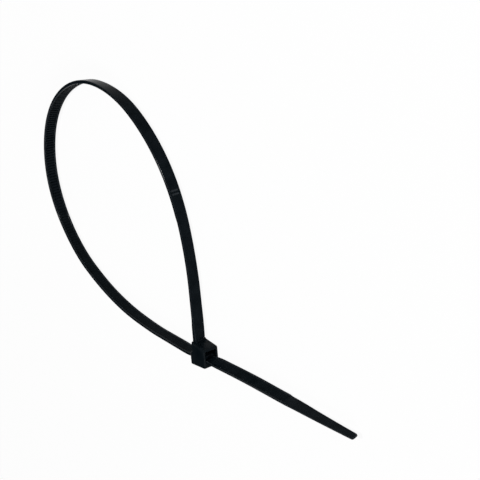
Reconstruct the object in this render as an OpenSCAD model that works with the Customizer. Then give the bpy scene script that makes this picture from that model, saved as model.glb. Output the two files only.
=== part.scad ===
// A nylon cable tie, moulded in one piece and drawn as it is closed.
// The strap leaves the top of the head, runs round the loop, enters the side of the head and leaves it as the tail.
// The loop lies flat in X and Y. X runs along the tail, Y runs up the neck, and Z is across the strap.
// The origin is on the side face that the head lies on, level with the middle of the slot.

/* [Strap] */
// Width of the strap
strap_w = 4.8; // [4.0:0.1:6.0]
// Thickness of the strap over its side rails
strap_t = 1.35; // [1.2:0.05:1.6]
// Width of each side rail
rail_w = 0.75; // [0.6:0.05:0.95]
// Distance from one tooth to the next
pitch = 1.2; // [1.0:0.1:1.5]
// Height of the teeth between the rails
tooth_h = 0.4; // [0.3:0.05:0.5]
// Step from the top of the rails down to the tips of the teeth
tip_drop = 0.08; // [0.05:0.01:0.12]
// Length of the slopes where the rails start and end
ramp_len = 1.6; // [1.0:0.1:2.5]

/* [Neck] */
// Length of the plain neck, from the head to the first tooth
neck_len = 52; // [40:1:60]
// Depth by which the neck is thinner than the strap
neck_relief = 0.3; // [0.2:0.05:0.4]
// Length of full thickness at the foot of the neck
foot_len = 7; // [5:0.5:10]
// Thickness that the neck gains on its outer face, down to the head
swell_t = 0.4; // [0.2:0.05:0.6]
// Length over which it gains it
swell_len = 15; // [10:0.5:20]
// Thickness of the step on the outer face at the foot of the neck
step_t = 0.6; // [0.45:0.05:0.8]
// Height of that step above the head
step_h = 1.4; // [0.8:0.1:2.0]
// Distance from the head to the middle of the shallow mark on the outer face
mark_at = 61; // [56:0.5:66]
// Length of that mark
mark_len = 2.2; // [1.5:0.1:3.0]
// Depth of that mark
mark_depth = 0.15; // [0.1:0.05:0.25]

/* [Loop] */
// Radius of the first bend, above the neck
neck_r = 120; // [100:1:150]
// Turn of the first bend, in degrees
neck_turn = 13; // [8:1:18]
// Radius of the shoulder
shoulder_r = 62; // [55:1:70]
// Turn of the shoulder, in degrees
shoulder_turn = 45; // [40:1:50]
// Radius of the crown
crown_r = 44; // [40:1:50]
// Turn of the crown, in degrees
crown_turn = 48; // [42:1:54]
// Radius of the far side
far_r = 46; // [42:1:54]
// Turn of the far side, in degrees
far_turn = 135; // [128:1:142]
// Radius of the return to the head
return_r = 106; // [90:1:120]

/* [Tail] */
// Length of the tail, from the middle of the head to its tip
tail_len = 91.85; // [75:0.05:120]
// Length of the plain tapered end
blade_len = 39.6; // [30:0.1:50]
// Width of the tip
tip_w = 2.8; // [2.2:0.1:3.4]
// Radius of the corners of the tip
tip_r = 0.8; // [0.4:0.1:1.0]

/* [Head] */
// Depth of the head at its top
head_d = 7.9; // [7.4:0.1:8.6]
// Depth that the flared mouth of the entrance adds to the head
mouth_d = 1.3; // [0.8:0.1:1.8]
// Thickness of the walls beside the slot
side_wall = 0.95; // [0.8:0.05:1.4]
// Thickness of the wall under the slot
floor_wall = 2.7; // [2.2:0.1:3.2]
// Thickness of the rim over the window
rim_t = 0.7; // [0.6:0.02:1.0]
// Drop of the top of the head from its entrance to its exit
top_drop = 1.4; // [1.0:0.1:1.8]
// Room over the slot for the pawl
pawl_room = 3.3; // [3.1:0.05:3.8]
// Drop of the lead-in on the floor of the slot, at its entrance
lead_d = 0.45; // [0.3:0.05:0.6]
// Gap between the strap and each side of the slot
slot_gap = 0.2; // [0.12:0.02:0.3]
// Gap between the strap and the floor of the slot
lie_gap = 0.1; // [0.06:0.02:0.16]
// Radius of the lower exit edge
chin_r = 1.4; // [0.8:0.1:2.0]
// Radius of the other edges
edge_r = 0.55; // [0.3:0.05:0.8]

/* [Pawl] */
// Number of teeth on the pawl
pawl_teeth = 3; // [2:1:3]
// Thickness of the pawl at its hinge
hinge_t = 1.1; // [0.8:0.1:1.4]
// Gap between the teeth of the pawl and those of the strap
mesh_gap = 0.06; // [0.04:0.01:0.1]
// Gap between the pawl and each wall beside it
pawl_gap = 0.4; // [0.3:0.05:0.6]
// Height of the free end of the pawl
nose_h = 1.3; // [1.0:0.1:1.6]
// Width of the bevel on the free end
nose_cut = 0.35; // [0.2:0.05:0.5]
// Least distance from the free end of the pawl to the exit face
nose_back = 0.4; // [0.2:0.05:0.6]

/* [Hidden] */

cut_over = 1;
seat = 0.2;
loop_turn = 270;
head_w = strap_w + 2 * (slot_gap + side_wall);
half_t = strap_t / 2;
tip_level = half_t - tip_drop;
valley_level = tip_level - tooth_h;
bank = 0.1 * pitch;
land = 0.3 * pitch;

slot_floor = -half_t - lie_gap;
slot_top = half_t + lie_gap;
head_floor = slot_floor - floor_wall;
window_top = slot_top + pawl_room;
top_exit = window_top + rim_t;
top_entry = top_exit + top_drop;
entry_face = -head_d / 2;
mouth_face = entry_face - mouth_d;
exit_face = head_d / 2;
root_x = entry_face + half_t;
neck_foot = top_entry - top_drop * strap_t / head_d;

// Bends of the loop in order, each as its radius and its turn.
return_turn = loop_turn - neck_turn - shoulder_turn - crown_turn - far_turn;
bends = [
    [neck_r, neck_turn],
    [shoulder_r, shoulder_turn],
    [crown_r, crown_turn],
    [far_r, far_turn],
    [return_r, return_turn]
];
last_bend = len(bends) - 1;

// Direction of the strap where bend i starts, in degrees from X.
function heading(i) = i == 0 ? 90 : heading(i - 1) + bends[i - 1][1];
// Step from the start to the end of an arc of radius r between two headings.
function arc_step(r, from, to) = r * [sin(to) - sin(from), cos(from) - cos(to)];
function bend_step(i) = arc_step(bends[i][0], heading(i), heading(i + 1));
function bend_len(i) = bends[i][0] * bends[i][1] * PI / 180;
function steps_to(i) = i < 0 ? [0, 0] : steps_to(i - 1) + bend_step(i);

// The neck rises just far enough for the last bend to end level with the slot.
bend_start = [root_x, -steps_to(last_bend)[1]];
function start(i) = bend_start + steps_to(i - 1);
entry_x = start(last_bend + 1)[0];
// Distance along the strap, measured from the middle of the slot, where bend i starts.
function start_u(i) = i > last_bend ? entry_x : start_u(i + 1) - bend_len(i);
neck_u = start_u(0) - (bend_start[1] - neck_foot);

// Position and heading of the strap's middle line at distance u from the middle of the slot.
function place(u, i = last_bend) =
    u >= entry_x ? [[u, 0], 0] :
    i < 0 ? [bend_start + [0, u - start_u(0)], 90] :
    u < start_u(i) ? place(u, i - 1) :
    let (to = heading(i) + (u - start_u(i)) / bends[i][0] * 180 / PI)
    [start(i) + arc_step(bends[i][0], heading(i), to), to];
// Point at distance u, moved sideways by d towards the inside of the loop.
function beside(u, d) = let (p = place(u)) p[0] + d * [-sin(p[1]), cos(p[1])];
// The same side of the strap from one distance back to another, clear of its inner face.
function clear_side(from, to) = [for (k = [0:ceil((from - to) / (2 * pitch))])
    beside(max(to, from - k * 2 * pitch), half_t + cut_over)];

// Corner at p, between neighbours a and b, rounded to radius r.
function corner(a, p, b, r, steps = 6) =
    let (to_a = (a - p) / norm(a - p), to_b = (b - p) / norm(b - p))
    let (half = acos(to_a * to_b) / 2, mid = (to_a + to_b) / norm(to_a + to_b))
    let (centre = p + mid * r / sin(half), first = p + to_a * r / tan(half) - centre)
    let (side = to_a[0] * to_b[1] - to_a[1] * to_b[0] > 0 ? -1 : 1)
    [for (k = [0:steps]) let (t = side * (180 - 2 * half) * k / steps)
        centre + [first[0] * cos(t) - first[1] * sin(t), first[0] * sin(t) + first[1] * cos(t)]];
// Outline through points that each hold x, y and a corner radius.
function rounded(points) = let (n = len(points)) [for (i = [0:n - 1])
    let (p = points[i], a = points[(i + n - 1) % n], b = points[(i + 1) % n])
    each p[2] == 0 ? [[p[0], p[1]]] : corner([a[0], a[1]], [p[0], p[1]], [b[0], b[1]], p[2])];

// Tooth k of the strap: a steep face towards the head, a short land and a long slope.
function tooth(k) = [
    [k * pitch, valley_level],
    [k * pitch + bank, tip_level],
    [k * pitch + land, tip_level]
];
blade_start = tail_len - blade_len;
teeth_start = neck_u + neck_len;
first_tooth = ceil((teeth_start + ramp_len) / pitch);
last_tooth = floor(blade_start / pitch) - 1;

// Distances at which the outline of the curved run has a point.
chord = 2 * pitch;
stations = [
    neck_u - cut_over,
    neck_u,
    neck_u + swell_len,
    for (i = [0:last_bend]) let (n = ceil(bend_len(i) / chord))
        for (k = [0:n - 1]) start_u(i) + k * bend_len(i) / n,
    entry_x,
    entry_x + chord
];

// Thickness that the neck has gained at distance u.
function swell(u) = swell_t * min(1, max(0, 1 - (u - neck_u) / swell_len));

// The flat band: neck and bends, then the straight run through the head to the tip.
module band() {
    last = len(stations) - 1;
    linear_extrude(strap_w, center = true)
        polygon(concat(
            [for (u = stations) beside(u, -half_t - swell(u))],
            [for (i = [last:-1:0]) beside(stations[i], half_t)]
        ));
    rotate([90, 0, 0])
        linear_extrude(strap_t, center = true)
            polygon(rounded([
                [entry_x, -strap_w / 2, 0],
                [blade_start, -strap_w / 2, 0],
                [tail_len, -tip_w / 2, tip_r],
                [tail_len, tip_w / 2, tip_r],
                [blade_start, strap_w / 2, 0],
                [entry_x, strap_w / 2, 0]
            ]));
}

// The toothed channel between the rails, as the space to be removed.
module channel() {
    end_u = (last_tooth + 1) * pitch;
    teeth = [for (k = [first_tooth:last_tooth]) each [for (t = tooth(k)) beside(t[0], t[1])]];
    linear_extrude(strap_w - 2 * rail_w, center = true)
        polygon(concat(
            [beside(teeth_start, half_t)],
            teeth,
            [beside(end_u, valley_level), beside(blade_start + ramp_len, valley_level)],
            clear_side(blade_start + ramp_len, teeth_start)
        ));
}

// What is removed over the plain tail and on the inner side of the neck.
module thinned_ends() {
    linear_extrude(strap_w + 2 * cut_over, center = true)
        polygon([
            [blade_start - ramp_len / 2, half_t],
            [blade_start + ramp_len / 2, valley_level],
            [tail_len + cut_over, valley_level],
            [tail_len + cut_over, half_t + cut_over],
            [blade_start - ramp_len / 2, half_t + cut_over]
        ]);
    from = neck_u + foot_len;
    floor_d = half_t - neck_relief;
    count = ceil((neck_len - foot_len - 2 * ramp_len) / pitch);
    run = (neck_len - foot_len - 2 * ramp_len) / count;
    linear_extrude(strap_w + 2 * cut_over, center = true)
        polygon(concat(
            [beside(from, half_t)],
            [for (k = [0:count]) beside(from + ramp_len + k * run, floor_d)],
            [beside(teeth_start, half_t)],
            clear_side(teeth_start, from)
        ));
}

// The shallow mark on the outer face, a little past the first teeth.
module face_mark() {
    spot = place(neck_u + mark_at);
    translate([spot[0][0], spot[0][1], 0])
        rotate([0, 0, spot[1]])
            translate([-mark_len / 2, -half_t - cut_over, -strap_w / 2 + rail_w])
                cube([mark_len, cut_over + mark_depth, strap_w - 2 * rail_w]);
}

module strap() {
    difference() {
        band();
        channel();
        thinned_ends();
        face_mark();
    }
}

// The pawl's teeth lie in the valleys of the strap's teeth, drawn back and up by the mesh gap.
pawl_w = strap_w + 2 * slot_gap - 2 * pawl_gap;
pawl_bite_w = strap_w - 2 * rail_w - 2 * mesh_gap;
pawl_first = ceil((exit_face - nose_back) / pitch) - pawl_teeth;
pawl_back = pawl_first * pitch - mesh_gap;
pawl_end = (pawl_first + pawl_teeth) * pitch - mesh_gap;
pawl_base = slot_top + mesh_gap;
root_wall = strap_t + 0.15;
cavity_x = entry_face + root_wall;

module pawl() {
    hinge_top = window_top + seat;
    hinge_foot = window_top - pawl_room / 2;
    linear_extrude(pawl_w, center = true)
        polygon([
            [cavity_x - seat, hinge_top],
            [cavity_x + 0.9 * hinge_t, hinge_top],
            [cavity_x + 1.3 * hinge_t, window_top - 0.6 * hinge_t],
            [pawl_end - nose_cut, pawl_base + nose_h],
            [pawl_end, pawl_base + nose_h - nose_cut],
            [pawl_end, pawl_base],
            [pawl_back, pawl_base],
            [cavity_x + seat, hinge_foot - seat],
            [cavity_x - seat, hinge_foot]
        ]);
    bite_top = pawl_base + seat;
    linear_extrude(pawl_bite_w, center = true)
        polygon(concat(
            [[pawl_back, bite_top]],
            [for (k = [pawl_first:pawl_first + pawl_teeth - 1])
                each [for (t = tooth(k)) [max(pawl_back, t[0] - mesh_gap), t[1] + mesh_gap]]],
            [[pawl_end, valley_level + mesh_gap], [pawl_end, bite_top]]
        ));
}

// The head: a block rounded in all three views, cut by the slot and its window.
// Under the neck its entrance flares out to a mouth, and its lower exit edge is well rounded.
module head_block() {
    intersection() {
        linear_extrude(head_w, center = true)
            polygon(rounded([
                [mouth_face, head_floor, edge_r],
                [exit_face, head_floor, chin_r],
                [exit_face, top_exit, edge_r],
                [entry_face, top_entry, 0],
                [entry_face, window_top - pawl_room / 4, 0],
                [mouth_face, slot_top + 2 * lead_d, 0]
            ]));
        rotate([0, 90, 0])
            linear_extrude(2 * (exit_face + mouth_d + cut_over), center = true)
                polygon(rounded([
                    [-head_w / 2, head_floor, edge_r],
                    [head_w / 2, head_floor, edge_r],
                    [head_w / 2, top_entry, edge_r],
                    [-head_w / 2, top_entry, edge_r]
                ]));
        rotate([90, 0, 0])
            linear_extrude(2 * top_entry + cut_over, center = true)
                polygon(rounded([
                    [mouth_face, -head_w / 2, edge_r],
                    [exit_face, -head_w / 2, edge_r],
                    [exit_face, head_w / 2, edge_r],
                    [mouth_face, head_w / 2, edge_r]
                ]));
    }
    translate([entry_face, neck_foot - cut_over, -strap_w / 2])
        cube([strap_t + swell_t + step_t, cut_over + step_h, strap_w]);
}

module slot() {
    slot_w = strap_w + 2 * slot_gap;
    linear_extrude(slot_w, center = true)
        polygon([
            [mouth_face - cut_over, slot_floor - lead_d],
            [mouth_face, slot_floor - lead_d],
            [mouth_face + 2 * lead_d, slot_floor],
            [exit_face + cut_over, slot_floor],
            [exit_face + cut_over, window_top],
            [cavity_x, window_top],
            [cavity_x, slot_top],
            [mouth_face + lead_d, slot_top],
            [mouth_face, slot_top + lead_d / 2],
            [mouth_face - cut_over, slot_top + lead_d / 2]
        ]);
}

module head() {
    difference() {
        head_block();
        slot();
    }
    pawl();
}

module cable_tie() {
    color([0.045, 0.05, 0.06])
        translate([0, 0, head_w / 2]) {
            strap();
            head();
        }
}

cable_tie();
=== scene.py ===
import math

import bmesh
import bpy
from mathutils import Matrix, Vector


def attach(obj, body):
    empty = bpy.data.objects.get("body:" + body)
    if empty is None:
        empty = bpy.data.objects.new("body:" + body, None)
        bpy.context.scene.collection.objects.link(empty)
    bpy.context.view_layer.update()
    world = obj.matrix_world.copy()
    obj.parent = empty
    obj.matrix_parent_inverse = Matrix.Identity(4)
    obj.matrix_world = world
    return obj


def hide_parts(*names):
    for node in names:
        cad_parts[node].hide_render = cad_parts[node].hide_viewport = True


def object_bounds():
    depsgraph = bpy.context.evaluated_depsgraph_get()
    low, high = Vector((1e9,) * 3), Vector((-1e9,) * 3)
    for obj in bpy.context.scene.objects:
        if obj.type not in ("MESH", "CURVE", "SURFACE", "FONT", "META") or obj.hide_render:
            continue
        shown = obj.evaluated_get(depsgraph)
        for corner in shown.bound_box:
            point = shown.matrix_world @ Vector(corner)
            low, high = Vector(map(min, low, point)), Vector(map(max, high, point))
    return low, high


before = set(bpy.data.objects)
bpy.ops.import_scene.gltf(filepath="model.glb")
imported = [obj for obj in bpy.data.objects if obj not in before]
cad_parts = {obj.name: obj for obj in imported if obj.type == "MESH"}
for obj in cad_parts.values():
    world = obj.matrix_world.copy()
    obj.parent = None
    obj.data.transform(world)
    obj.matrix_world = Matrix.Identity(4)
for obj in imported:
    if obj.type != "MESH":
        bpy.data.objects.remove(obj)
cad_low, cad_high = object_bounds()

# Head: the block of black nylon that the strap is moulded to, lying on its side face. Its top slopes down
# from the neck to the exit, and its entrance flares out to a mouth. A window over the slot makes room for
# the pawl.
mm = 0.001
strap_w = 4.8 * mm
strap_t = 1.35 * mm
half_t = strap_t / 2
head_w = cad_high.z - cad_low.z
head_floor = cad_low.y
head_d = 7.9 * mm
mouth_d = 1.3 * mm
slot_gap = 0.2 * mm
lie_gap = 0.1 * mm
lead_d = 0.45 * mm
pawl_room = 3.3 * mm
rim_t = 0.7 * mm
top_drop = 1.4 * mm
chin_round = 1.2 * mm
head_round = 0.8 * mm
lip_round = 0.12 * mm
pocket_wall = 0.15 * mm
floor_drop = 0.3 * mm
floor_rise = 0.4 * mm
lip_reach = 0.4 * mm
lip_rise = 0.35 * mm
throat_drop = 1.3 * mm
entry_face = -head_d / 2
mouth_face = entry_face - mouth_d
exit_face = head_d / 2
slot_top = half_t + lie_gap
slot_floor = -slot_top
window_top = slot_top + pawl_room
top_exit = window_top + rim_t
top_entry = top_exit + top_drop
neck_foot = top_entry - top_drop * strap_t / head_d
cavity_x = entry_face + strap_t + pocket_wall
entry_floor = head_floor - floor_drop
exit_floor = head_floor + floor_rise
exit_lip = exit_face + lip_reach
lip_top = top_exit + lip_rise
throat_y = window_top - throat_drop
head_sag = 0.35 * mm
cut_over = 1 * mm
tiny = 1e-6
crease = math.radians(30)

# How much painted highlight the faces of a cut or rounded edge carry, from none to strong.
no_highlight = 0
faint_highlight = 0.08
slight_highlight = 0.15
half_highlight = 0.5
strong_highlight = 0.9


def extruded(outline, width):
    """A closed mesh from an outline in X and Y, extruded both ways from the middle of the strap along Z."""
    bm = bmesh.new()
    face = bm.faces.new([bm.verts.new((x, y, -width / 2)) for x, y in outline])
    side = bmesh.ops.extrude_face_region(bm, geom=[face], use_keep_orig=True)["geom"]
    bmesh.ops.translate(bm, verts=[g for g in side if isinstance(g, bmesh.types.BMVert)], vec=(0, 0, width))
    bmesh.ops.recalc_face_normals(bm, faces=bm.faces)
    return bm


def bevel(bm, edges, width, segments, highlight_level=half_highlight):
    """Rounds edges, or cuts them with one segment, and notes the painted highlight of the new faces."""
    painted_highlight = bm.faces.layers.float.get("painted_highlight") or bm.faces.layers.float.new("painted_highlight")
    made = bmesh.ops.bevel(
        bm, geom=list(edges), offset=width, affect="EDGES", segments=segments, profile=0.5, material=-1
    )
    for f in made["faces"]:
        f[painted_highlight] = highlight_level


def sharp_edges(bm):
    """The convex edges of a mesh that turn by more than the crease angle."""
    return [e for e in bm.edges if e.is_manifold and e.calc_face_angle_signed() > crease]


def lay_grain(bm):
    """Writes where each face lies along and across the mould, in millimetres, for the nylon's grain."""
    layer = bm.loops.layers.uv.new("grain")
    end_on = 0.7
    for f in bm.faces:
        f.normal_update()
        for corner in f.loops:
            x, y, z = corner.vert.co / mm
            corner[layer].uv = (y, z) if abs(f.normal.x) > end_on else (x, y + z)


def piece(name, bm):
    """The object that a finished mesh becomes."""
    if not bm.loops.layers.uv:
        lay_grain(bm)
    mesh = bpy.data.meshes.new(name)
    bm.to_mesh(mesh)
    bm.free()
    made = bpy.data.objects.new(name, mesh)
    bpy.context.scene.collection.objects.link(made)
    return made


def combined(body, other, operation):
    """Cuts another object from a body, or joins it to the body, and removes the other."""
    change = body.modifiers.new(operation, "BOOLEAN")
    change.object, change.operation, change.solver = other, operation, "EXACT"
    mesh = bpy.data.meshes.new_from_object(body.evaluated_get(bpy.context.evaluated_depsgraph_get()))
    body.modifiers.clear()
    body.data = mesh
    bpy.data.objects.remove(other)


block = extruded(
    [
        (mouth_face, entry_floor),
        (exit_lip, exit_floor),
        (exit_lip, lip_top),
        (entry_face, top_entry),
        (entry_face, throat_y),
        (mouth_face, slot_top + 1.5 * lead_d),
    ],
    head_w,
)
chin = [e for e in block.edges if all(v.co.x > 0 and v.co.y < 0 for v in e.verts)]
bevel(block, chin, chin_round, segments=8, highlight_level=no_highlight)
root = [e for e in block.edges if all(v.co.y > lip_top + tiny for v in e.verts)]
corners = [e for e in sharp_edges(block) if e not in root]
bevel(block, corners, head_round, segments=5, highlight_level=faint_highlight)
head = piece("head", block)

slot_w = strap_w + 2 * slot_gap
opening = extruded(
    [
        (mouth_face - cut_over, slot_floor - lead_d),
        (mouth_face, slot_floor - lead_d),
        (mouth_face + 2 * lead_d, slot_floor),
        (exit_face + cut_over, slot_floor),
        (exit_face + cut_over, window_top),
        (cavity_x, window_top),
        (cavity_x, slot_top),
        (mouth_face + lead_d, slot_top),
        (mouth_face, slot_top + lead_d / 2),
        (mouth_face - cut_over, slot_top + lead_d / 2),
    ],
    slot_w,
)
combined(head, piece("opening", opening), "DIFFERENCE")
exit_rim = bmesh.new()
exit_rim.from_mesh(head.data)
rim_edges = []
for e in exit_rim.edges:
    at_exit = all(v.co.x > exit_lip - tiny for v in e.verts)
    in_width = all(abs(v.co.z) < slot_w / 2 + tiny for v in e.verts)
    in_height = all(slot_floor - tiny < v.co.y < window_top + tiny for v in e.verts)
    if at_exit and in_width and in_height:
        rim_edges.append(e)
# The exit rim's rounded edges carry a strong painted highlight.
bevel(exit_rim, rim_edges, lip_round, segments=2, highlight_level=strong_highlight)
exit_rim.to_mesh(head.data)
exit_rim.free()

# Foot of the neck: a short thick step on top of the head, as wide as the strap, that the neck rises from.
# It is moulded with the head and stands proud of the neck's outer face.
swell_t = 0.6 * mm
step_t = 0.35 * mm
step_h = 0.95 * mm
step_x = entry_face + strap_t + swell_t + step_t
foot_outline = [
    (entry_face, neck_foot - cut_over),
    (step_x, neck_foot - cut_over),
    (step_x, neck_foot + step_h),
    (entry_face, neck_foot + step_h),
]
foot_block = extruded(foot_outline, strap_w)
bevel(foot_block, sharp_edges(foot_block), lip_round, segments=3, highlight_level=slight_highlight)
combined(head, piece("foot", foot_block), "UNION")

# Pawl: the springy tongue in the window, moulded with the head. It hangs from the roof at the entrance, and
# its free end at the exit has three teeth that sit in the valleys of the strap's teeth and let it pass one
# way only.
pitch = 1.2 * mm
tooth_h = 0.4 * mm
tip_drop = 0.08 * mm
rail_w = 0.75 * mm
tip_level = half_t - tip_drop
valley_level = tip_level - tooth_h
tooth_bank = 0.1 * pitch
tooth_land = 0.3 * pitch
pawl_teeth = 3
hinge_t = 1.1 * mm
hinge_back = 0.9 * hinge_t
knee_back = 1.3 * hinge_t
knee_drop = 0.6 * hinge_t
mesh_gap = 0.06 * mm
pawl_gap = 0.4 * mm
nose_h = 1.3 * mm
nose_cut = 0.35 * mm
nose_back = 0.4 * mm
seat = 0.2 * mm
pawl_first = math.ceil((exit_face - nose_back) / pitch) - pawl_teeth
pawl_back = pawl_first * pitch - mesh_gap
pawl_end = (pawl_first + pawl_teeth) * pitch - mesh_gap
pawl_base = slot_top + mesh_gap
hinge_foot = window_top - pawl_room / 2
tongue = extruded(
    [
        (cavity_x - seat, window_top + seat),
        (cavity_x + hinge_back, window_top + seat),
        (cavity_x + knee_back, window_top - knee_drop),
        (pawl_end - nose_cut, pawl_base + nose_h),
        (pawl_end, pawl_base + nose_h - nose_cut),
        (pawl_end, pawl_base),
        (pawl_back, pawl_base),
        (cavity_x + seat, hinge_foot - seat),
        (cavity_x - seat, hinge_foot),
    ],
    slot_w - 2 * pawl_gap,
)
bevel(tongue, sharp_edges(tongue), lip_round / 2, segments=2)
bite = [(pawl_back, pawl_base + seat)]
for k in range(pawl_first, pawl_first + pawl_teeth):
    for along, level in ((0, valley_level), (tooth_bank, tip_level), (tooth_land, tip_level)):
        bite.append((max(pawl_back, k * pitch + along - mesh_gap), level + mesh_gap))
bite += [(pawl_end, valley_level + mesh_gap), (pawl_end, pawl_base + seat)]
pawl = piece("pawl", tongue)
combined(pawl, piece("bite", extruded(bite, strap_w - 2 * rail_w - 2 * mesh_gap)), "UNION")
combined(head, pawl, "UNION")

# Strap: a flat ribbon, moulded straight with the head and then closed round the loop. Its outer face is
# smooth, and its inner face has a channel of ratchet teeth between two rails. The neck beside the head is
# plain and a little thinner, and past the last tooth a thin blade tapers to the tip.
ramp_len = 1.6 * mm
edge_cut = 0.2 * mm
rail_cut = 0.16 * mm
blade_len = 39.6 * mm
tip_w = 2.8 * mm
tip_round = 0.8 * mm
neck_len = 52 * mm
neck_relief = 0.3 * mm
foot_len = 7 * mm
swell_len = 15 * mm
mark_at = 61 * mm
mark_len = 2.4 * mm
mark_depth = 0.15 * mm
mark_gap = 0.8 * mm
mark_wall = 0.1 * mm
plain_step = 1.5 * mm
square_on = 0.9
tail_len = cad_high.x
root_x = entry_face + half_t
mid_z = (cad_low.z + cad_high.z) / 2

# Bends of the loop from the neck round to the slot: radius, and turn in degrees.
bends = [(120 * mm, 13), (62 * mm, 45), (44 * mm, 48), (46 * mm, 135), (106 * mm, 29)]


def arc_step(radius, start, end):
    """Step from the start to the end of an arc between two headings."""
    return radius * Vector((math.sin(end) - math.sin(start), math.cos(start) - math.cos(end)))


heading, point, runs = math.pi / 2, Vector((root_x, 0)), []
for radius, turn in bends:
    runs.append({"radius": radius, "heading": heading, "start": point})
    point = point + arc_step(radius, heading, heading + math.radians(turn))
    heading += math.radians(turn)
entry_u = point.x
start_u = entry_u
for run, (radius, turn) in zip(reversed(runs), reversed(bends)):
    start_u -= radius * math.radians(turn)
    run["u"] = start_u
    run["start"] = run["start"] - Vector((0, point.y))
neck_u = start_u - (runs[0]["start"].y - neck_foot)
teeth_start = neck_u + neck_len
blade_start = tail_len - blade_len
mark_u = neck_u + mark_at


def ease(x, start, end):
    """A smooth rise from 0 at start to 1 at end."""
    t = min(1, max(0, (x - start) / (end - start)))
    return t * t * (3 - 2 * t)


# A closed tie isn't quite true. These are distances in millimetres along the strap from the middle of the
# slot, each with the turn of the strap about its own length there, in degrees, and its shift towards the
# inside, in millimetres.
sway_rows = [
    (-330, 0, 0),
    (-310, -6, -0.25),
    (-290, 0, 0),
    (-270, -2, 0),
    (-250, -8, -0.25),
    (-225, -5, -0.2),
    (-206, 7, 0.2),
    (-192, 9, 0.22),
    (-178, 12, 0.42),
    (-160, 16, 0.48),
    (-140, 10, 0.35),
    (-122, 6, 0.05),
    (-100, -4, 0.3),
    (-82, 0, 0),
    (-68, 0, -0.25),
    (-54, 4, -0.2),
    (-40, 4, 0.05),
    (-28, 4.5, -0.2),
    (-16, 7.5, -0.6),
    (-9, 6, -0.85),
    (-4, 1, -0.5),
    (1, 0, -0.35),
    (5, 9, -0.3),
    (9, 18, -0.1),
    (14, 19, 0.02),
    (22, 19, 0.2),
    (32, 21, 0.28),
    (40, 20, 0.2),
    (48, 18.5, 0.08),
    (60, 21, 0.02),
    (70, 20, -0.18),
    (84, 20, -0.3),
    (100, 20, -0.3),
]
sway = [Vector(row) for row in sway_rows]


def sway_at(u):
    """Turn in radians and inward shift in metres at distance u, on a smooth curve through the rows."""
    u /= mm
    i = max(k for k in range(1, len(sway) - 2) if sway[k].x <= u or k == 1)
    before, a, b, after = sway[i - 1 : i + 3]
    t = (u - a.x) / (b.x - a.x)
    slope_a = (b - before) * (b.x - a.x) / (b.x - before.x)
    slope_b = (after - a) * (b.x - a.x) / (after.x - a.x)
    swept = a + (b - a) * t * t * (3 - 2 * t) + slope_a * t * (1 - t) ** 2 - slope_b * t * t * (1 - t)
    return math.radians(swept.y), swept.z * mm


def place(u):
    """Point and heading of the strap's middle line at distance u from the middle of the slot."""
    if u >= entry_u:
        return Vector((u, 0)), 0.0
    for run in reversed(runs):
        if u >= run["u"]:
            turned = run["heading"] + (u - run["u"]) / run["radius"]
            return run["start"] + arc_step(run["radius"], run["heading"], turned), turned
    return runs[0]["start"] + Vector((0, u - runs[0]["u"])), math.pi / 2


def cut(bm, at, normal):
    """Splits a mesh's faces along the plane at a distance from the origin."""
    bmesh.ops.bisect_plane(
        bm, geom=bm.verts[:] + bm.edges[:] + bm.faces[:], plane_co=Vector(normal) * at, plane_no=normal
    )


# The ribbon lies flat along X with its inner side up, from inside the head to the tip.
ribbon = bmesh.new()
ribbon_start = neck_u - cut_over
bmesh.ops.create_cube(ribbon, size=1)
ribbon_size = Matrix.Diagonal((tail_len - ribbon_start, valley_level + half_t, strap_w, 1))
ribbon_middle = Vector(((ribbon_start + tail_len) / 2, (valley_level - half_t) / 2, 0))
bmesh.ops.transform(ribbon, matrix=Matrix.Translation(ribbon_middle) @ ribbon_size, verts=ribbon.verts)
cut(ribbon, teeth_start, (1, 0, 0))
cut(ribbon, blade_start, (1, 0, 0))
for v in ribbon.verts:
    if v.co.x > tail_len - tiny:
        v.co.z *= tip_w / strap_w
tip_corners = [
    e
    for e in ribbon.edges
    if all(v.co.x > tail_len - tiny for v in e.verts) and abs(e.verts[0].co.z - e.verts[1].co.z) < tiny
]
bevel(ribbon, tip_corners, tip_round, segments=6, highlight_level=no_highlight)
outer_edges = [e for e in sharp_edges(ribbon) if all(v.co.y < 0 for v in e.verts)]
# The strap's outer edges are cut, and carry half the painted highlight.
bevel(ribbon, outer_edges, edge_cut, segments=1)
for side in (-1, 1):
    cut(ribbon, side * (strap_w / 2 - rail_w), (0, 0, 1))
raised = []
for f in ribbon.faces:
    middle = f.calc_center_median()
    on_rail = middle.x < teeth_start or abs(middle.z) > strap_w / 2 - rail_w
    if f.normal.y > square_on and middle.x < blade_start and on_rail:
        raised.append(f)
raised += [e for e in ribbon.edges if any(f in raised for f in e.link_faces)]
lifted = bmesh.ops.extrude_face_region(ribbon, geom=raised)["geom"]
lifted = [g for g in lifted if isinstance(g, bmesh.types.BMVert)]
bmesh.ops.translate(ribbon, verts=lifted, vec=(0, half_t - valley_level, 0))
for v in ribbon.verts:
    if abs(v.co.x - blade_start) < tiny:
        v.co.x += math.copysign(ramp_len / 2, valley_level + tiny - v.co.y)
rail_edges = [e for e in sharp_edges(ribbon) if all(v.co.y > valley_level - tiny for v in e.verts)]
# The rails' cut edges carry a strong painted highlight.
bevel(ribbon, rail_edges, rail_cut, segments=1, highlight_level=strong_highlight)

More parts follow.
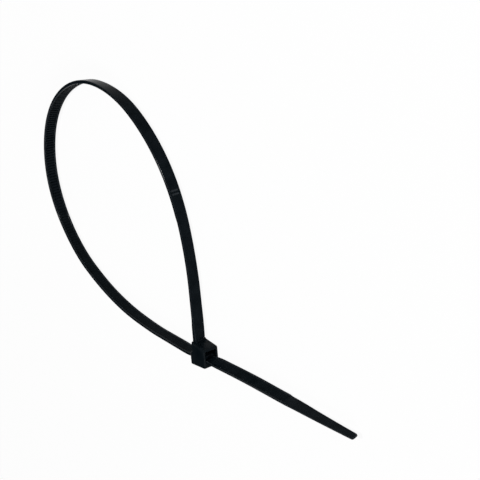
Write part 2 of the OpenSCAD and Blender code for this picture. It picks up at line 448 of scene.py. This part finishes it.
# The teeth: a steep face towards the head, a short land and a long slope down to the next valley.
first_tooth = math.ceil((teeth_start + ramp_len) / pitch)
last_tooth = math.floor(blade_start / pitch) - 1
stations = []
for k in range(first_tooth, last_tooth + 1):
    stations += [k * pitch, k * pitch + tooth_bank, k * pitch + tooth_land]
stations += [mark_u - mark_len / 2, mark_u - mark_gap / 2, mark_u + mark_gap / 2, mark_u + mark_len / 2]
stations.append((last_tooth + 1) * pitch)
for low, high in ((ribbon_start, teeth_start - mark_len), (blade_start + ramp_len, tail_len - tip_round)):
    count = math.ceil((high - low) / plain_step)
    stations += [low + (high - low) * k / count for k in range(1, count + 1)]
rest = ribbon.verts[:] + ribbon.edges[:] + ribbon.faces[:]
for u in sorted(stations, reverse=True):
    rest = bmesh.ops.bisect_plane(ribbon, geom=rest, plane_co=(u, 0, 0), plane_no=(1, 0, 0))["geom"]
    rest = [g for g in rest if min(v.co.x for v in getattr(g, "verts", [g])) < u + tiny]
for v in ribbon.verts:
    along = v.co.x % pitch
    in_channel = abs(v.co.y - valley_level) < tiny and abs(v.co.z) < strap_w / 2 - rail_w + tiny
    in_teeth = first_tooth * pitch < v.co.x < (last_tooth + 1) * pitch
    if in_channel and in_teeth and tooth_bank - tiny < along < tooth_land + tiny:
        v.co.y = tip_level

# The shallow mark on the outer face, a little past the first teeth, is a recess with two bars on its
# floor that are painted pale as a highlight.
mark = []
for f in ribbon.faces:
    middle = f.calc_center_median()
    between_rails = abs(middle.z) < strap_w / 2 - rail_w
    if f.normal.y < -square_on and abs(middle.x - mark_u) < mark_len / 2 and between_rails:
        mark.append(f)
bmesh.ops.inset_region(ribbon, faces=mark, thickness=mark_wall, depth=-mark_depth, use_even_offset=True)
# The two bars carry the painted highlight in full, and the rest of the recess none.
for f in mark:
    f[ribbon.faces.layers.float["painted_highlight"]] = float(abs(f.calc_center_median().x - mark_u) > mark_gap / 2)
lay_grain(ribbon)

# The neck is thinned on its inner side, and thickened on its outer side down to the head. Then the ribbon is
# bent round the loop.
for v in ribbon.verts:
    u, d, z = v.co
    if d > valley_level + tiny and u < teeth_start:
        thin = ease(u, neck_u + foot_len, neck_u + foot_len + ramp_len)
        d -= neck_relief * (thin - ease(u, teeth_start - ramp_len, teeth_start))
    elif d < 0:
        d -= swell_t * min(1, max(0, 1 - (u - neck_u) / swell_len))
    turned, shift = sway_at(u)
    point, heading = place(u)
    side = shift + d * math.cos(turned) - z * math.sin(turned)
    v.co = (
        point.x - side * math.sin(heading),
        point.y + side * math.cos(heading),
        mid_z + d * math.sin(turned) + z * math.cos(turned),
    )
strap = piece("strap", ribbon)
head.data.transform(Matrix.Translation((0, -head_sag, mid_z)))
combined(head, strap, "UNION")
tie = head
tie.name = "tie_moulding"
for f in tie.data.polygons:
    f.use_smooth = True
tie.data.set_sharp_from_angle(angle=crease)
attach(tie, "root")
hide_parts("cable_tie")


class Shade:
    """One output of a node. Sums and products of these add the Math nodes that work them out."""

    def __init__(self, tree, socket):
        self.tree = tree
        self.socket = socket

    @classmethod
    def node(cls, tree, kind, settings, sockets, output=0):
        """An output of a new node, given its settings first and then its sockets' values or links."""
        made = tree.nodes.new(kind)
        for name, value in settings.items():
            setattr(made, name, value)
        for name, value in sockets.items():
            if isinstance(value, cls):
                tree.links.new(value.socket, made.inputs[name])
            else:
                made.inputs[name].default_value = value
        return cls(tree, made.outputs[output])

    def math(self, operation, first, second):
        """What a Math node makes of two values."""
        return Shade.node(self.tree, "ShaderNodeMath", {"operation": operation}, {0: first, 1: second})

    def __add__(self, other):
        return self.math("ADD", self, other)

    def __sub__(self, other):
        return self.math("SUBTRACT", self, other)

    def __rsub__(self, other):
        return self.math("SUBTRACT", other, self)

    def __mul__(self, other):
        return self.math("MULTIPLY", self, other)

    __radd__ = __add__
    __rmul__ = __mul__


# Black nylon: dyed right through, with a faint blue cast. The mould leaves a fine grain, the flow of the
# nylon leaves soft patches of sheen, and handling leaves hairline scuffs along the strap. The edges are
# glossier, and are painted paler as a highlight.
deep_black = (0.0021, 0.004, 0.0056, 1)
worn_black = (0.0105, 0.0142, 0.0175, 1)
# Painted highlight: the pale colour of the edges and of the mark's bars.
painted_edge_highlight = (0.03, 0.035, 0.04, 1)
grain_scale = 2600
dimple_scale = 700
flow_scale = 240
patch_scale = 160
scuff_stretch = (0.07, 3.2, 1)
least_rough = 0.13
sheen = 0.025
relief = 0.07 * mm
nylon = bpy.data.materials.new("black_nylon")
nylon.use_nodes = True
tree = nylon.node_tree
at = Shade.node(tree, "ShaderNodeTexCoord", {}, {}, "Object")
along = Shade.node(tree, "ShaderNodeUVMap", {"uv_map": "grain"}, {})


def noise(vector, scale, detail=2):
    """A noise pattern, finer with a larger scale."""
    return Shade.node(tree, "ShaderNodeTexNoise", {}, {"Vector": vector, "Scale": scale, "Detail": detail})


def ranged(value, low, high):
    """0 up to one value, 1 from another, and straight between."""
    return Shade.node(tree, "ShaderNodeMapRange", {}, {"Value": value, "From Min": low, "From Max": high})


drawn_out = Shade.node(tree, "ShaderNodeVectorMath", {"operation": "MULTIPLY"}, {0: along, 1: scuff_stretch})
scuffs = ranged(noise(drawn_out, 1, 3), 0.62, 0.74) * ranged(noise(at, patch_scale), 0.45, 0.6)
flow = noise(at, flow_scale, 3)
grain = noise(at, grain_scale)
dimples = noise(at, dimple_scale)
wear = ranged(flow, 0.35, 0.75) * 0.35 + scuffs * 0.5 + ranged(grain, 0.55, 0.8) * 0.15
# The share of painted highlight on each face, patchy along the edges. It also makes them glossier.
highlight_mask = Shade.node(tree, "ShaderNodeAttribute", {"attribute_name": "painted_highlight"}, {}, "Fac")
highlight_mask = highlight_mask * (flow * 0.8 + 0.3)
colour_sockets = {0: wear, 6: deep_black, 7: worn_black}
body_colour = Shade.node(tree, "ShaderNodeMix", {"data_type": "RGBA"}, colour_sockets, 2)
edge_sockets = {0: highlight_mask, 6: body_colour, 7: painted_edge_highlight}
colour = Shade.node(tree, "ShaderNodeMix", {"data_type": "RGBA"}, edge_sockets, 2)
height = dimples * 0.6 + grain * 0.25 + scuffs * 0.3
shader = tree.nodes["Principled BSDF"]
bump = Shade.node(tree, "ShaderNodeBump", {}, {"Strength": 0.5, "Distance": relief, "Height": height})
tree.links.new(colour.socket, shader.inputs["Base Color"])
roughness = flow * 0.16 + scuffs * 0.12 + grain * 0.05 + least_rough - highlight_mask * 0.16
tree.links.new(roughness.socket, shader.inputs["Roughness"])
tree.links.new(bump.socket, shader.inputs["Normal"])
shader.inputs["Specular IOR Level"].default_value = sheen
tie.data.materials.append(nylon)

# Floor: plain white card, level with the side of the head that the tie lies on. It looks white to the camera
# and in reflections, and keeps a little of the tie's soft shadow.
floor_size = 6
card_white = 0.9
glow_share = 0.93
card = bmesh.new()
bmesh.ops.create_grid(card, x_segments=1, y_segments=1, size=floor_size / 2)
floor = piece("floor", card)
white = bpy.data.materials.new("white_card")
white.use_nodes = True
tree = white.node_tree
tree.nodes["Principled BSDF"].inputs["Base Color"].default_value = (card_white, card_white, card_white, 1)
tree.nodes["Principled BSDF"].inputs["Roughness"].default_value = 0.9
tree.nodes["Principled BSDF"].inputs["Specular IOR Level"].default_value = 0
card_shade = Shade(tree, tree.nodes["Principled BSDF"].outputs[0])
to_camera = Shade.node(tree, "ShaderNodeLightPath", {}, {}, "Is Camera Ray")
to_gloss = Shade.node(tree, "ShaderNodeLightPath", {}, {}, "Is Glossy Ray")
to_glass = Shade.node(tree, "ShaderNodeLightPath", {}, {}, "Is Transmission Ray")
seen = to_camera + to_gloss + to_glass
glow = Shade.node(tree, "ShaderNodeEmission", {}, {"Color": (1, 1, 1, 1), "Strength": 1})
lit = Shade.node(tree, "ShaderNodeMixShader", {}, {0: seen * glow_share, 1: card_shade, 2: glow})
tree.links.new(lit.socket, tree.nodes["Material Output"].inputs["Surface"])
floor.data.materials.append(white)

# Room: pale low down and dim overhead, as round a white table, and dimmer beyond the loop than beyond the
# tail. Four soft lamps light the tie.
overhead = 0.04
world = bpy.data.worlds.new("world")
world.use_nodes = True
tree = world.node_tree
way = Shade.node(tree, "ShaderNodeTexCoord", {}, {}, "Generated")
up = Shade.node(tree, "ShaderNodeSeparateXYZ", {}, {"Vector": way}, "Z")
across = Shade.node(tree, "ShaderNodeSeparateXYZ", {}, {"Vector": way}, "X")
low_sockets = {"Value": up, "From Min": 0.06, "From Max": 0.32, "To Min": 1, "To Max": 0}
side_sockets = {"Value": across, "From Min": -0.45, "From Max": 0.2, "To Min": 0.16, "To Max": 0.6}
low = Shade.node(tree, "ShaderNodeMapRange", {}, low_sockets)
side = Shade.node(tree, "ShaderNodeMapRange", {}, side_sockets)
tree.links.new((low * side + overhead).socket, tree.nodes["Background"].inputs["Strength"])
tree.nodes["Background"].inputs["Color"].default_value = (0.9, 0.96, 1, 1)
bpy.context.scene.world = world


def lamp(name, spot, aim, size, watts):
    """A square lamp of a size in metres that stands at a spot and shines at another."""
    light = bpy.data.objects.new(name, bpy.data.lights.new(name, "AREA"))
    light.data.size = size
    light.data.energy = watts
    turn = (Vector(aim) - Vector(spot)).to_track_quat("-Z", "Y").to_matrix().to_4x4()
    light.matrix_world = Matrix.Translation(spot) @ turn
    bpy.context.scene.collection.objects.link(light)


lamp("key", (0.165, 0.375, 1.095), (-0.015, 0.075, 0), 0.08, 6.5)
lamp("second", (0.315, 0.415, 1.0), (-0.095, 0.03, 0), 0.08, 2.5)
lamp("fill", (1.1, -0.65, 0.7), (-0.03, 0.05, 0), 0.7, 10)
lamp("rim", (-0.85, 0.65, 0.52), (0, 0.02, 0), 0.5, 1.3)

# Camera: it stands where the tie is seen across its loop and down along its tail. It looks down on the lying
# tie, and is rolled so that the neck rises in the picture as it does when held.
camera_place = Vector((612.85, 358.6, 408.05)) * mm
camera_aim = Vector((30.65, 58.3, 3.55)) * mm
camera_roll = math.radians(-110.1)
camera_lens = 156.8
film_width = 36
camera = bpy.data.objects.new("camera", bpy.data.cameras.new("camera"))
bpy.context.scene.collection.objects.link(camera)
camera.data.lens = camera_lens
camera.data.sensor_width = film_width
look = (camera_aim - camera_place).to_track_quat("-Z", "Y").to_matrix().to_4x4()
camera.matrix_world = Matrix.Translation(camera_place) @ look @ Matrix.Rotation(camera_roll, 4, "Z")
bpy.context.scene.camera = camera
bpy.context.scene.view_settings.view_transform = "Standard"
